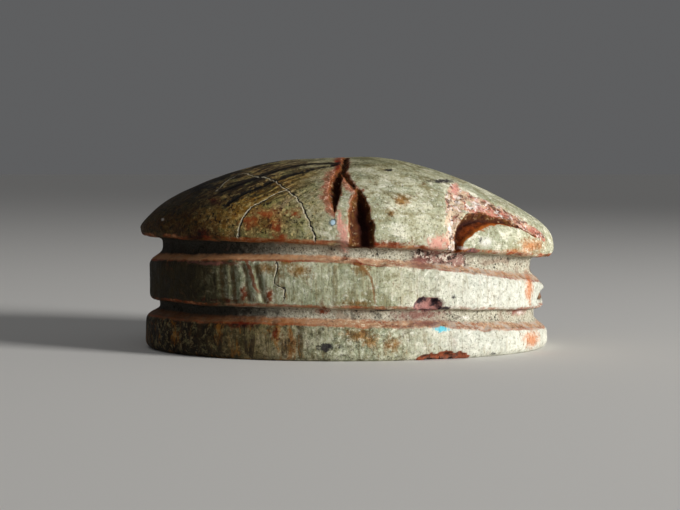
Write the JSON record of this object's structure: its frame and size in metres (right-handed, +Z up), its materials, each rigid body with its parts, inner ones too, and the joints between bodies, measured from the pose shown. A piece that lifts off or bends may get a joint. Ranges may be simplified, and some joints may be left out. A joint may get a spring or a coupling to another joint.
{
  "type": "scarab amulet",
  "caption": "Small oval stone beetle amulet with a flat engraved base, grooved flanks, a domed back and a lengthwise bore for a cord.",
  "frame": {"origin": "centre of the flat underside", "axes": "+X along the amulet towards the head, +Z up through the back, -Y towards the flank seen in the picture"},
  "size_m": [0.018, 0.013, 0.0083],
  "materials": {
    "steatite": "worn, once glazed soft stone with red-brown stain in its cuts"
  },
  "bodies": {
    "root": {"scarab": "steatite"}
  },
  "joints": []
}
